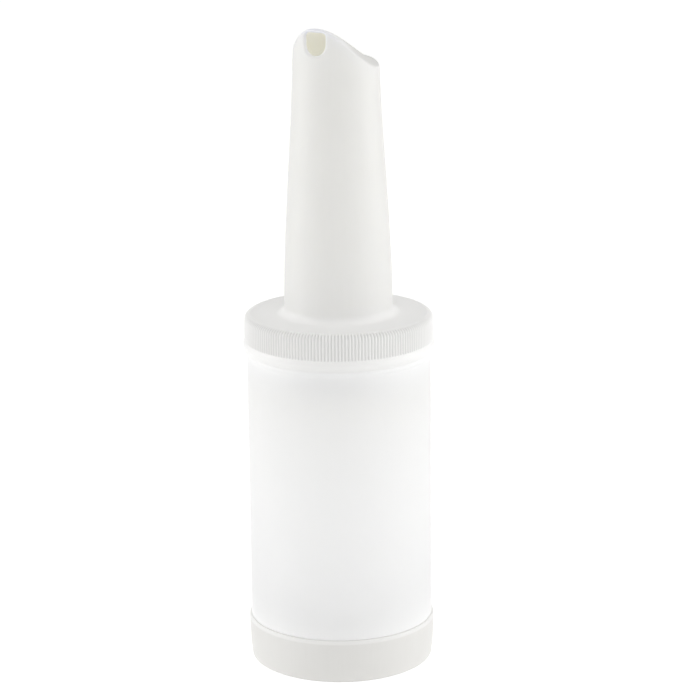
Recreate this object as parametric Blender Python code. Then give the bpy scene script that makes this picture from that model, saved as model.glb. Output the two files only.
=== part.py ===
"""Pour bottle: a container, its screw-on pouring neck with a sealing washer, and a storage lid.

Metres, +Z up. The bottle stands on the lid, its axis is the Z axis, and its pour hole faces -Y.
"""

import math

import bmesh
import bpy
from mathutils import Matrix, Vector

# Clearances
GAP = 0.0003                    # between two pieces that seat on each other
THREAD_CLEARANCE = 0.00035      # between a thread's crest and the root it runs in

# Container
BODY_RADIUS = 0.0433
BODY_WALL = 0.0013
BODY_FLOOR = 0.0015
RIM_HEIGHT = 0.1657             # top of the mouth above the table
MOUTH_STEP = 0.0024             # from the body's radius in to the mouth's outer wall
MOUTH_WALL = 0.0012
RIM_BEVEL = 0.0003
SHOULDER_FLARE = 0.0006         # how far the shoulder bead stands out from the body
SHOULDER_BEAD = 0.0030          # height of that bead
SHOULDER_SLOPE = 0.0035         # height of the slope inside, from the mouth out to the body
FOOT_CORNER = 0.0006
PUSH_UP = 0.0014                # how far the middle of the base is raised
STANDING_RING = 0.0055          # width of the base that isn't raised

# Screw thread, shared by the mouth, the collar and the lid
THREAD_PITCH = 0.0050
THREAD_DEPTH = 0.00115
THREAD_ROOT_WIDTH = 0.0026
THREAD_CREST_WIDTH = 0.0012
THREAD_BELOW_RIM = 0.0034       # from a rim down to the upper end of its thread
THREAD_LEAD_IN = 0.0008         # plain wall inside the collar, under its thread
THREAD_START_ANGLE = 60.0       # degrees from the mouth thread's lower end to the collar thread's
THREAD_RUN_OUT = 18.0           # degrees over which a thread rises from its wall

# Sealing washer
WASHER_THICKNESS = 0.0012
WASHER_EDGE_CLEARANCE = 0.0004  # from the washer out to the collar's wall

# Collar of the pouring neck
COLLAR_WALL = 0.0022            # from the socket out over the ribs
COLLAR_HEIGHT = 0.0176
COLLAR_CEILING = 0.0016
COLLAR_SHOULDER = 0.0032        # radius of the collar's upper edge
COLLAR_BEAD = 0.0005            # how far the plain bead stands out below the ribs
COLLAR_BEAD_HEIGHT = 0.0050
COLLAR_LIP_DRAFT = 0.0009       # how far the lower lip draws in from the bead
RIB_COUNT = 180
RIB_DEPTH = 0.00045
PLUG_WALL = 0.0012              # ring that fits inside the mouth
PLUG_LENGTH = 0.0040

# Tapered neck
NECK_FOOT_RADIUS = 0.0255
NECK_WALL = 0.0014
NECK_FILLET = 0.0040
TIP_RADIUS = 0.01975
BOTTLE_HEIGHT = 0.3053

# Closed tip: an arched roof that falls away from the pouring side in a smooth S
ROOF_WALL = 0.0014
ROOF_EDGE = 0.0021              # radius between the roof and the side
ROOF_DROP = 0.0164              # from the roof's front down to its back
ROOF_SLOPE_FRONT = 0.15
ROOF_SLOPE_BACK = 0.16
ROOF_ARCH_FRONT = 0.0125        # radius of the arch across the roof, at its front
ROOF_ARCH_BACK = 0.0460
HOOD_LENGTH = 0.0120            # plain wall kept below the roof's lowest edge

# Pour hole and air vent
HOLE_WIDTH = 0.0108
HOLE_HEIGHT = 0.0106
HOLE_CORNER = 0.0018
HOLE_BELOW_TOP = 0.0018         # from the bottle's top to the top of the hole
HOLE_CHAMFER = 0.0005
VENT_RADIUS = 0.0015
VENT_BELOW_ROOF = 0.0040

# Storage lid
LID_HEIGHT = 0.0210
LID_FLOOR = 0.0018
LID_WALL = 0.0020
LID_KNEE_DRAFT = 0.0005         # how far the side draws in from the rim down to the knee
LID_KNEE_HEIGHT = 0.0070
LID_BASE_DRAFT = 0.0011         # how far it draws in from the rim down to the base
LID_EDGE = 0.0012
LID_CORNER = 0.0034             # height of the slope inside, from the floor to the socket's wall
LID_BEAD_HEIGHT = 0.0004        # sealing bead on the lid's floor
LID_BEAD_WIDTH = 0.0010

ROUND_STEPS = 60                # facets round every turned piece
RIB_COLUMNS = 2 * RIB_COUNT     # a crest and a valley for each rib
THREAD_STEPS = 40               # facets in one turn of a thread
THREAD_EMBED = 0.0005           # how deep a thread is rooted in its wall
SOFT_ANGLE = math.radians(35)

# Radii that follow from the ones above
THREAD_ROOT = BODY_RADIUS - MOUTH_STEP
THREAD_CREST = THREAD_ROOT + THREAD_DEPTH
MOUTH_RADIUS = THREAD_ROOT - MOUTH_WALL
SOCKET_RADIUS = THREAD_CREST + THREAD_CLEARANCE
SOCKET_CREST = THREAD_ROOT + THREAD_CLEARANCE
FOOT_RADIUS = SOCKET_CREST - GAP
COLLAR_RADIUS = SOCKET_RADIUS + COLLAR_WALL
LID_RIM_RADIUS = SOCKET_RADIUS + LID_WALL
PLUG_RADIUS = MOUTH_RADIUS - GAP
ROOF_REACH = TIP_RADIUS - ROOF_EDGE

# Heights that follow from the ones above
FOOT_LEVEL = LID_FLOOR + LID_BEAD_HEIGHT + GAP
STEP_LEVEL = LID_HEIGHT + GAP
WASHER_LEVEL = RIM_HEIGHT + GAP
CEILING_LEVEL = WASHER_LEVEL + WASHER_THICKNESS + GAP
COLLAR_TOP = CEILING_LEVEL + COLLAR_CEILING
COLLAR_BOTTOM = COLLAR_TOP - COLLAR_HEIGHT
LEDGE_LEVEL = COLLAR_BOTTOM - GAP
BEAD_TOP = COLLAR_BOTTOM + COLLAR_BEAD_HEIGHT

# The collar's thread lies just under the mouth's, where a tightened neck pulls it
THREAD_FLANK = (THREAD_ROOT_WIDTH - THREAD_CREST_WIDTH) / 2 / THREAD_DEPTH
THREAD_OVERLAP = THREAD_DEPTH - THREAD_CLEARANCE
THREAD_DROP = THREAD_CREST_WIDTH + THREAD_FLANK * THREAD_OVERLAP + GAP
COLLAR_THREAD_START = COLLAR_BOTTOM + THREAD_LEAD_IN + THREAD_ROOT_WIDTH / 2
MOUTH_THREAD_START = COLLAR_THREAD_START + THREAD_DROP - THREAD_PITCH * THREAD_START_ANGLE / 360.0
THREAD_RISE = RIM_HEIGHT - THREAD_BELOW_RIM - MOUTH_THREAD_START


def arc(centre_r, centre_z, radius, start, end, steps):
    """Points (r, z) along an arc, its angles in degrees from +r towards +z, both ends included."""
    points = []
    for step in range(steps + 1):
        angle = math.radians(start + (end - start) * step / steps)
        points.append((centre_r + radius * math.cos(angle), centre_z + radius * math.sin(angle)))
    return points


def finish(name, bm, material):
    """Turn a closed bmesh into a named, smooth-shaded object with its material."""
    bmesh.ops.recalc_face_normals(bm, faces=bm.faces)
    mesh = bpy.data.meshes.new(name)
    bm.to_mesh(mesh)
    bm.free()
    mesh.shade_smooth()
    mesh.set_sharp_from_angle(angle=SOFT_ANGLE)
    if material is not None:
        mesh.materials.append(material)
    obj = bpy.data.objects.new(name, mesh)
    bpy.context.collection.objects.link(obj)
    return obj


def turned(name, outline, material, closed=False):
    """Revolve an outline of (r, z) points round the Z axis into a closed solid."""
    bm = bmesh.new()
    verts = [bm.verts.new((r, 0.0, z)) for r, z in outline]
    pairs = list(zip(verts, verts[1:]))
    if closed:
        pairs.append((verts[-1], verts[0]))
    edges = [bm.edges.new(pair) for pair in pairs]
    bmesh.ops.spin(bm, geom=verts + edges, cent=(0.0, 0.0, 0.0), axis=(0.0, 0.0, 1.0),
                   angle=math.tau, steps=ROUND_STEPS, use_merge=True)
    bmesh.ops.remove_doubles(bm, verts=bm.verts, dist=1e-6)
    return finish(name, bm, material)


def weave(bm, first, second):
    """Join two rings of vertices. Either may be a single point, and their counts may differ."""
    coarse, fine = (first, second) if len(first) <= len(second) else (second, first)
    n, m = len(coarse), len(fine)
    if n == 1 or n == m:
        for i in range(m):
            corners = (coarse[i % n], coarse[(i + 1) % n], fine[(i + 1) % m], fine[i])
            bm.faces.new(corners[1:] if n == 1 else corners)
        return
    i = j = 0
    while i < n or j < m:
        here, there = coarse[i % n], fine[j % m]
        if j == m or (i < n and (2 * i + 1) * m <= (2 * j + 1) * n):
            i += 1
            bm.faces.new((here, coarse[i % n], there))
        else:
            j += 1
            bm.faces.new((here, fine[j % m], there))


def skin(name, rings, material):
    """Loft a closed solid through rings of points. The first and last ring are single points."""
    bm = bmesh.new()
    rows = [[bm.verts.new(point) for point in ring] for ring in rings]
    for first, second in zip(rows, rows[1:]):
        weave(bm, first, second)
    return finish(name, bm, material)


def level_ring(r, z, count=ROUND_STEPS):
    """A level ring of points round the axis."""
    return [Vector((r * math.cos(math.tau * k / count), r * math.sin(math.tau * k / count), z))
            for k in range(count)]


def ribbed_ring(r, z, depth):
    """A level ring whose points alternate between a rib's crest and the valley beside it."""
    ring = level_ring(1.0, 0.0, RIB_COLUMNS)
    radii = (r, r - depth)
    return [Vector((p.x * radii[k % 2], p.y * radii[k % 2], z)) for k, p in enumerate(ring)]


def as_tool(obj):
    """Mark an object as a shape that others are cut or joined with."""
    obj.hide_render = True
    obj.display_type = "WIRE"
    return obj


def combine(obj, tool, operation):
    """Add a Boolean of the object with a tool."""
    modifier = obj.modifiers.new(tool.name, "BOOLEAN")
    modifier.operation = operation
    modifier.object = tool
    modifier.solver = "EXACT"


def set_origin(obj, height):
    """Move an object's origin up its axis, to the height where it seats."""
    obj.data.transform(Matrix.Translation((0.0, 0.0, -height)))
    obj.location.z = height


def thread_ridge(name, wall, crest, first_height, start_angle=0.0):
    """A right-handed helical ridge that rises from a round wall to its crest radius."""
    turns = THREAD_RISE / THREAD_PITCH
    root = wall + math.copysign(THREAD_EMBED, wall - crest)
    sunk = wall + math.copysign(THREAD_EMBED / 4, wall - crest)
    stations = math.ceil(THREAD_STEPS * turns)
    run_out = THREAD_RUN_OUT / (360.0 * turns)
    sections = []
    for k in range(stations + 1):
        along = k / stations
        angle = math.radians(start_angle) + math.tau * turns * along
        height = first_height + THREAD_RISE * along
        risen = min(1.0, along / run_out, (1.0 - along) / run_out)
        top = sunk + (crest - sunk) * risen
        outline = ((root, -THREAD_ROOT_WIDTH / 2), (top, -THREAD_CREST_WIDTH / 2),
                   (top, THREAD_CREST_WIDTH / 2), (root, THREAD_ROOT_WIDTH / 2))
        sections.append([Vector((r * math.cos(angle), r * math.sin(angle), height + z)) for r, z in outline])
    bm = bmesh.new()
    rows = [[bm.verts.new(point) for point in section] for section in sections]
    for first, second in zip(rows, rows[1:]):
        weave(bm, first, second)
    bm.faces.new(rows[0])
    bm.faces.new(rows[-1])
    return as_tool(finish(name, bm, None))


def neck_radius(z):
    """Outer radius of the neck: upright at its foot and tip, and drawn in smoothly between them."""
    t = min(1.0, max(0.0, (z - COLLAR_TOP) / (BOTTLE_HEIGHT - COLLAR_TOP)))
    return NECK_FOOT_RADIUS - (NECK_FOOT_RADIUS - TIP_RADIUS) * t * t * (3.0 - 2.0 * t)


def roof_height(x, y):
    """Height of the roof's outside: a line that falls from front to back, arched less and less across."""
    length = 2.0 * ROOF_REACH
    back = (ROOF_REACH + y) / length
    fall = ROOF_DROP * back * back * (3.0 - 2.0 * back)
    bend = ROOF_SLOPE_FRONT * (1.0 - back) - ROOF_SLOPE_BACK * back
    line = BOTTLE_HEIGHT - fall - length * back * (1.0 - back) * bend
    arch = (1.0 - back) / ROOF_ARCH_FRONT + back / ROOF_ARCH_BACK
    return line - arch * x * x / 2.0


LOWEST_ROOF = min(roof_height(p.x, p.y) for p in level_ring(TIP_RADIUS, 0.0))
HOOD_START = LOWEST_ROOF - ROOF_EDGE - HOOD_LENGTH


def hood_rings(wall, thickness, edge, spans, edge_steps, lifts):
    """Rings of the closed tip, from the middle of its roof out and down its side.

    wall is how far the rings lie inside the neck's outer surface, thickness how far under the roof's, and
    edge the radius between roof and side. spans are shares of the roof's reach, and lifts are shares of the
    height from the hood's start up to the edge.
    """
    columns = level_ring(1.0, 0.0)
    rings = [[Vector((0.0, 0.0, roof_height(0.0, 0.0) - thickness))]]
    side = []
    for p in columns:
        level = roof_height(p.x * TIP_RADIUS, p.y * TIP_RADIUS) - thickness - edge
        side.append((neck_radius(level) - wall, level))

    def roof_ring(radius_at, sink):
        ring = []
        for p, (reach, _) in zip(columns, side):
            r = radius_at(reach)
            ring.append(Vector((p.x * r, p.y * r, roof_height(p.x * r, p.y * r) - thickness - sink)))
        return ring

    for share in spans:
        rings.append(roof_ring(lambda reach: share * (reach - edge), 0.0))
    for step in range(1, edge_steps + 1):
        angle = math.radians(90.0 * step / edge_steps)
        rings.append(roof_ring(lambda reach: reach - edge + edge * math.sin(angle),
                               edge * (1.0 - math.cos(angle))))
    tops = [point.z for point in rings[-1]]
    for lift in lifts:
        ring = []
        for p, top in zip(columns, tops):
            z = HOOD_START + (top - HOOD_START) * lift
            r = neck_radius(z) - wall
            ring.append(Vector((p.x * r, p.y * r, z)))
        rings.append(ring)
    return rings


def neck_rings(wall, levels):
    """Level rings down the neck, at shares of the way from the hood's start to the foot's fillet."""
    bottom = COLLAR_TOP + NECK_FILLET
    heights = [HOOD_START + (bottom - HOOD_START) * level for level in levels]
    return [level_ring(neck_radius(z) - wall, z) for z in heights]


def hole_cutter():
    """The pour hole: flat top, round bottom, wrapped round the wall and chamfered on the outside."""
    half = HOLE_WIDTH / 2
    top = BOTTLE_HEIGHT - HOLE_BELOW_TOP
    centre = top - HOLE_HEIGHT + half
    wall = neck_radius(centre)

    def section(radius, grow):
        outline = arc(0.0, centre, half + grow, 180.0, 360.0, 12)
        outline += arc(half - HOLE_CORNER, top - HOLE_CORNER, HOLE_CORNER + grow, 0.0, 90.0, 3)
        outline += arc(HOLE_CORNER - half, top - HOLE_CORNER, HOLE_CORNER + grow, 90.0, 180.0, 3)
        return [Vector((radius * math.sin(across / wall), -radius * math.cos(across / wall), z))
                for across, z in outline]

    inside = wall - 3.0 * NECK_WALL
    outside = wall + 2.0 * HOLE_CHAMFER
    rings = [[Vector((0.0, -inside, centre))], section(inside, 0.0), section(wall - HOLE_CHAMFER, 0.0),
             section(outside, 3.0 * HOLE_CHAMFER), [Vector((0.0, -outside, centre))]]
    return as_tool(skin("pour_hole_cutter", rings, None))


def vent_cutter():
    """The air vent, through the back wall just under the roof's low edge."""
    height = roof_height(0.0, TIP_RADIUS) - ROOF_EDGE - VENT_BELOW_ROOF
    wall = neck_radius(height)
    bm = bmesh.new()
    bmesh.ops.create_cone(bm, cap_ends=True, segments=16, radius1=VENT_RADIUS, radius2=VENT_RADIUS,
                          depth=4.0 * NECK_WALL)
    bmesh.ops.rotate(bm, verts=bm.verts, matrix=Matrix.Rotation(math.pi / 2, 3, "X"))
    bmesh.ops.translate(bm, verts=bm.verts, vec=(0.0, wall - NECK_WALL / 2, height))
    return as_tool(finish("vent_cutter", bm, None))


def build_container(material):
    """The jar: foot for the lid, straight body, shoulder bead and threaded mouth."""
    inner = BODY_RADIUS - BODY_WALL
    foot_inner = FOOT_RADIUS - BODY_WALL
    floor = FOOT_LEVEL + BODY_FLOOR
    flare = BODY_RADIUS + SHOULDER_FLARE
    slope_top = LEDGE_LEVEL - BODY_WALL
    ring = FOOT_RADIUS - STANDING_RING
    raised = ring - PUSH_UP
    outline = [(0.0, FOOT_LEVEL + PUSH_UP), (raised, FOOT_LEVEL + PUSH_UP), (ring, FOOT_LEVEL)]
    outline += arc(FOOT_RADIUS - FOOT_CORNER, FOOT_LEVEL + FOOT_CORNER, FOOT_CORNER, -90.0, 0.0, 2)
    outline += [(FOOT_RADIUS, STEP_LEVEL), (BODY_RADIUS - FOOT_CORNER, STEP_LEVEL),
                (BODY_RADIUS, STEP_LEVEL + FOOT_CORNER), (BODY_RADIUS, LEDGE_LEVEL - SHOULDER_BEAD),
                (flare, LEDGE_LEVEL - SHOULDER_BEAD / 3), (flare, LEDGE_LEVEL), (THREAD_ROOT, LEDGE_LEVEL)]
    outline += [(THREAD_ROOT, RIM_HEIGHT - RIM_BEVEL), (THREAD_ROOT - RIM_BEVEL, RIM_HEIGHT),
                (MOUTH_RADIUS + RIM_BEVEL, RIM_HEIGHT), (MOUTH_RADIUS, RIM_HEIGHT - RIM_BEVEL)]
    outline += [(MOUTH_RADIUS, slope_top), (inner, slope_top - SHOULDER_SLOPE),
                (inner, STEP_LEVEL + 2.0 * BODY_WALL), (foot_inner, STEP_LEVEL)]
    outline += arc(foot_inner - BODY_WALL, floor + BODY_WALL, BODY_WALL, 0.0, -90.0, 2)
    outline += [(ring, floor), (raised, floor + PUSH_UP), (0.0, floor + PUSH_UP)]
    container = turned("container", outline, material)
    combine(container, thread_ridge("mouth_thread", THREAD_ROOT, THREAD_CREST, MOUTH_THREAD_START), "UNION")
    set_origin(container, FOOT_LEVEL)
    return container


def build_washer(material):
    """The flat ring that seals the mouth against the collar's ceiling."""
    inner = PLUG_RADIUS + GAP
    outer = SOCKET_RADIUS - WASHER_EDGE_CLEARANCE
    top = WASHER_LEVEL + WASHER_THICKNESS
    outline = [(inner, WASHER_LEVEL), (outer, WASHER_LEVEL), (outer, top), (inner, top)]
    washer = turned("sealing_washer", outline, material, closed=True)
    set_origin(washer, WASHER_LEVEL)
    return washer


def collar_rings():
    """Rings of the collar's outside: ribbed upper edge and side, then the plain bead and lower lip."""
    shoulder = COLLAR_RADIUS - COLLAR_SHOULDER
    edge = arc(shoulder, COLLAR_TOP - COLLAR_SHOULDER, COLLAR_SHOULDER, 90.0, 0.0, 3)
    rings = [level_ring(*edge[0])]
    rings += [ribbed_ring(r, z, RIB_DEPTH) for r, z in edge[1:]]
    rings.append(ribbed_ring(COLLAR_RADIUS, BEAD_TOP + RIB_DEPTH, RIB_DEPTH))
    bead = COLLAR_RADIUS + COLLAR_BEAD
    for r, share in ((COLLAR_RADIUS, 1.0), (bead, 0.75), (bead, 0.45), (bead - COLLAR_LIP_DRAFT, 0.0)):
        rings.append(level_ring(r, COLLAR_BOTTOM + COLLAR_BEAD_HEIGHT * share))
    return rings


def socket_rings():
    """Rings of the collar's inside: threaded wall, ceiling and the plug ring that enters the mouth."""
    plug_inner = PLUG_RADIUS - PLUG_WALL
    plug_end = CEILING_LEVEL - PLUG_LENGTH
    points = [(SOCKET_RADIUS + RIM_BEVEL, COLLAR_BOTTOM), (SOCKET_RADIUS, COLLAR_BOTTOM + RIM_BEVEL),
              (SOCKET_RADIUS, CEILING_LEVEL), (PLUG_RADIUS, CEILING_LEVEL),
              (PLUG_RADIUS, plug_end + RIM_BEVEL), (PLUG_RADIUS - RIM_BEVEL, plug_end),
              (plug_inner, plug_end), (plug_inner, CEILING_LEVEL)]
    return [level_ring(r, z) for r, z in points]


def build_pour_neck(material):
    """Ribbed screw collar, tapered neck and closed slanting tip, moulded in one."""
    fillet_z = COLLAR_TOP + NECK_FILLET
    fillet_r = neck_radius(fillet_z) + NECK_FILLET
    rings = hood_rings(0.0, 0.0, ROOF_EDGE, (0.4, 0.75, 1.0), 2, (0.67, 0.33, 0.0))
    rings += neck_rings(0.0, (0.25, 0.5, 0.75, 1.0))
    rings += [level_ring(r, z) for r, z in arc(fillet_r, fillet_z, NECK_FILLET, 210.0, 270.0, 2)]
    rings += collar_rings()
    rings += socket_rings()
    inside = NECK_FILLET + COLLAR_CEILING
    rings += [level_ring(r, z) for r, z in arc(fillet_r, fillet_z, inside, 270.0, 225.0, 1)]
    rings += neck_rings(NECK_WALL, (1.0, 0.67, 0.33))
    rings += reversed(hood_rings(NECK_WALL, ROOF_WALL, ROOF_EDGE / 2, (0.5, 1.0), 1, (0.5, 0.0)))
    neck = skin("pour_neck", rings, material)
    ridge = thread_ridge("collar_thread", SOCKET_RADIUS, SOCKET_CREST, COLLAR_THREAD_START,
                         THREAD_START_ANGLE)
    combine(neck, ridge, "UNION")
    combine(neck, hole_cutter(), "DIFFERENCE")
    combine(neck, vent_cutter(), "DIFFERENCE")
    set_origin(neck, RIM_HEIGHT)
    return neck


def build_lid(material):
    """The cap under the container: it fits the foot, and screws on the mouth when the neck is off."""
    bead_middle = MOUTH_RADIUS + MOUTH_WALL / 2
    bead_half = LID_BEAD_WIDTH / 2
    bead_top = LID_FLOOR + LID_BEAD_HEIGHT
    outline = [(0.0, 0.0)]
    outline += arc(LID_RIM_RADIUS - LID_BASE_DRAFT - LID_EDGE, LID_EDGE, LID_EDGE, -90.0, 0.0, 3)
    outline += [(LID_RIM_RADIUS - LID_KNEE_DRAFT, LID_KNEE_HEIGHT),
                (LID_RIM_RADIUS, LID_HEIGHT - 2.0 * RIM_BEVEL), (LID_RIM_RADIUS - RIM_BEVEL, LID_HEIGHT),
                (SOCKET_RADIUS + RIM_BEVEL, LID_HEIGHT), (SOCKET_RADIUS, LID_HEIGHT - RIM_BEVEL),
                (SOCKET_RADIUS, LID_FLOOR + LID_CORNER), (FOOT_RADIUS + GAP, LID_FLOOR)]
    outline += [(bead_middle + bead_half, LID_FLOOR), (bead_middle + bead_half / 2, bead_top),
                (bead_middle - bead_half / 2, bead_top), (bead_middle - bead_half, LID_FLOOR),
                (0.0, LID_FLOOR)]
    lid = turned("storage_lid", outline, material)
    thread_start = LID_HEIGHT - THREAD_BELOW_RIM - THREAD_RISE
    combine(lid, thread_ridge("lid_thread", SOCKET_RADIUS, SOCKET_CREST, thread_start), "UNION")
    return lid


def plastic(name, colour, roughness, transmission=0.0):
    """A moulded plastic: its colour, roughness and how much light it lets through."""
    material = bpy.data.materials.new(name)
    material.use_nodes = True
    shader = material.node_tree.nodes["Principled BSDF"]
    shader.inputs["Base Color"].default_value = (*colour, 1.0)
    shader.inputs["Roughness"].default_value = roughness
    shader.inputs["Metallic"].default_value = 0.0
    shader.inputs["Transmission Weight"].default_value = transmission
    material.diffuse_color = (*colour, 1.0)
    return material


def main():
    """Clear the scene and build the four pieces."""
    for obj in list(bpy.data.objects):
        bpy.data.objects.remove(obj, do_unlink=True)
    build_lid(plastic("lid_white", (0.80, 0.79, 0.77), 0.45))
    build_container(plastic("container_natural", (0.84, 0.84, 0.84), 0.40, 0.15))
    build_washer(plastic("washer_silicone", (0.70, 0.70, 0.68), 0.60))
    build_pour_neck(plastic("neck_white", (0.84, 0.84, 0.82), 0.35))


main()
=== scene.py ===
"""Pour bottle: its looks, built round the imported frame.

A straight milky container stands on its parked storage lid and carries a ribbed screw collar with a tall
tapered neck, whose closed tip slants down from the pour hole. Metres, +Z up. The bottle's axis is the Z
axis and its pour hole faces -Y.
"""

import logging
import math
from abc import ABC, abstractmethod
from dataclasses import dataclass, field
from enum import Enum
from functools import cached_property
from typing import ClassVar, Sequence

import bmesh
import bpy
from bmesh.types import BMesh, BMEdge, BMVert
from mathutils import Matrix, Vector


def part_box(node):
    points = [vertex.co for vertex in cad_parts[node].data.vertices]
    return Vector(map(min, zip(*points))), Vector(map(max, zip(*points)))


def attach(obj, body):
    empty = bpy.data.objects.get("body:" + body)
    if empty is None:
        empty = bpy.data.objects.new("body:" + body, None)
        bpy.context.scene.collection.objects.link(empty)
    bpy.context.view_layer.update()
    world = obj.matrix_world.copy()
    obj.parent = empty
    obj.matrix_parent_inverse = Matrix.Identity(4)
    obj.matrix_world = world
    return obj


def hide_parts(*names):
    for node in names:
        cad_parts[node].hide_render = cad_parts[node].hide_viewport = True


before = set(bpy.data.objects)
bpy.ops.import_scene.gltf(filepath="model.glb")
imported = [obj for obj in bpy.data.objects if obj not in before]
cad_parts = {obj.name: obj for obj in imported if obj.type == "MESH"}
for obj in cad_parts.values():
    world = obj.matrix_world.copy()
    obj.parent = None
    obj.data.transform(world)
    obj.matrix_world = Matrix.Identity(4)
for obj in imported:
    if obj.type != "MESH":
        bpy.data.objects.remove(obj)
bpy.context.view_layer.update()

log = logging.getLogger("pour_bottle")

MM = 0.001
AXIS = Vector((0.0, 0.0, 1.0))
CENTRE = Vector((0.0, 0.0, 0.0))
MERGE = 0.001 * MM
SOFT_ANGLE = math.radians(38.0)

# The longest chord of a straight run, from plain walls to what meets small corners
SPARSE = 8.0 * MM
EVEN = 5.0 * MM
CLOSE = 2.0 * MM
DENSE = 1.0 * MM

Point = tuple[float, float]
Profile = list[Point]
Colour = tuple[float, float, float]


class Joining(Enum):
    """How a second shape is worked into a first."""

    ADD = "UNION"
    CUT = "DIFFERENCE"


class Skin(Enum):
    """Which of a moulding's two finishes a surface takes."""

    OUTSIDE = 0
    INSIDE = 1


# Outlines, as points of radius from the bottle's axis and height


def ease(share: float) -> float:
    """A smooth step from 0 to 1, level at both ends."""
    return share * share * (3.0 - 2.0 * share)


def arc(centre: Point, radius: float, start: float, end: float, steps: int) -> Profile:
    """Points of an arc in the outline's plane.

    Args:
        centre: The arc's centre.
        radius: The arc's radius.
        start: First angle in degrees, from outwards towards up.
        end: Last angle in degrees.
        steps: Number of chords.

    Returns:
        The points, both ends included.
    """
    angles = [math.radians(start + (end - start) * step / steps) for step in range(steps + 1)]
    return [(centre[0] + radius * math.cos(a), centre[1] + radius * math.sin(a)) for a in angles]


def run(start: Point, end: Point, spacing: float) -> Profile:
    """Points of a straight run.

    Args:
        start: Where it starts, which is left out.
        end: Where it ends, which is included.
        spacing: The longest chord.

    Returns:
        The points.
    """
    first, last = Vector(start), Vector(end)
    steps = max(1, math.ceil((last - first).length / spacing))
    return [tuple(first.lerp(last, step / steps)) for step in range(1, steps + 1)]


def legs(start: Point, *stops: tuple[float, float, float]) -> Profile:
    """Points of straight runs, one after the other.

    Args:
        start: Where the first run starts, which is left out.
        stops: For each run, the radius and height of its end, and its longest chord.

    Returns:
        The points.
    """
    outline: Profile = []
    for radius, height, spacing in stops:
        outline += run(start, (radius, height), spacing)
        start = (radius, height)
    return outline


def s_curve(start: Point, end: Point, steps: int) -> Profile:
    """Points of a smooth S from one radius to another, upright at both ends.

    Args:
        start: Where it starts.
        end: Where it ends.
        steps: Number of chords.

    Returns:
        The points, both ends included.
    """
    out, up = end[0] - start[0], end[1] - start[1]
    return [(start[0] + out * ease(step / steps), start[1] + up * step / steps) for step in range(steps + 1)]


# Meshes


def spin(outline: Profile, steps: int, turn: float = math.tau, closed: bool = False) -> BMesh:
    """Turn an outline round the bottle's axis.

    Args:
        outline: The outline's points.
        steps: Facets in the turn.
        turn: The angle that it turns through.
        closed: Whether the outline's ends are joined.

    Returns:
        The surface, its doubles merged.
    """
    bm = bmesh.new()
    verts = [bm.verts.new((r, 0.0, z)) for r, z in outline]
    ends = verts[1:] + verts[:1] if closed else verts[1:]
    edges = [bm.edges.new(pair) for pair in zip(verts, ends)]
    full = turn == math.tau
    bmesh.ops.spin(bm, geom=verts + edges, cent=CENTRE, axis=AXIS, angle=turn, steps=steps, use_merge=full)
    bmesh.ops.remove_doubles(bm, verts=bm.verts, dist=MERGE)
    return bm


def repeat_round(bm: BMesh, copies: int, pitch: float) -> None:
    """Repeat a sector round the bottle's axis and merge the seams.

    Args:
        bm: The sector's mesh.
        copies: How many sectors there are in the end.
        pitch: The angle from one sector to the next.
    """
    sector = bm.verts[:] + bm.edges[:] + bm.faces[:]
    bmesh.ops.spin(bm, geom=sector, cent=CENTRE, axis=AXIS, angle=pitch * (copies - 1), steps=copies - 1,
                   use_duplicate=True)
    bmesh.ops.remove_doubles(bm, verts=bm.verts, dist=MERGE)


def gather(shells: Sequence[tuple[BMesh, Skin]]) -> BMesh:
    """Put shells together in one mesh.

    Args:
        shells: Each shell, which is freed, with the finish that its faces take.

    Returns:
        The mesh of them all, not joined yet.
    """
    whole = bmesh.new()
    for bm, skin in shells:
        for face in bm.faces:
            face.material_index = skin.value
        mesh = bpy.data.meshes.new("shell")
        bm.to_mesh(mesh)
        bm.free()
        whole.from_mesh(mesh)
        bpy.data.meshes.remove(mesh)
    return whole


def face_outwards(bm: BMesh) -> None:
    """Make all the faces point out.

    Args:
        bm: A mesh of closed shells.
    """
    bmesh.ops.recalc_face_normals(bm, faces=bm.faces)
    if bm.calc_volume(signed=True) < 0.0:
        bmesh.ops.reverse_faces(bm, faces=bm.faces)


def rim_at(bm: BMesh, height: float, low: float, high: float) -> list[BMEdge]:
    """Open edges at a height whose radius lies between two limits.

    Args:
        bm: The mesh.
        height: The edges' height.
        low: The least radius.
        high: The largest radius.

    Returns:
        The edges.
    """
    rim = []
    for edge in bm.edges:
        level = all(abs(vert.co.z - height) < MERGE for vert in edge.verts)
        near = all(low < vert.co.xy.length < high for vert in edge.verts)
        if edge.is_boundary and level and near:
            rim.append(edge)
    return rim


def loft(name: str, sections: Sequence[Sequence[Vector]]) -> bpy.types.Object:
    """A closed solid through sections of as many points each, for adding to or cutting from a piece.

    Args:
        name: The object's name while it is in use.
        sections: Closed loops of points, in order.

    Returns:
        The solid, as an object.
    """
    bm = bmesh.new()
    verts = [bm.verts.new(point) for point in sections[0]]
    edges = [bm.edges.new(pair) for pair in zip(verts, verts[1:] + verts[:1])]
    bmesh.ops.contextual_create(bm, geom=edges)
    for section in sections[1:]:
        grown = bmesh.ops.extrude_edge_only(bm, edges=edges)["geom"]
        verts = [part for part in grown if isinstance(part, BMVert)]
        edges = [part for part in grown if isinstance(part, BMEdge)]
        for vert, point in zip(verts, section):
            vert.co = point
    bmesh.ops.contextual_create(bm, geom=edges)
    face_outwards(bm)
    return to_object(name, bm)


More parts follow.
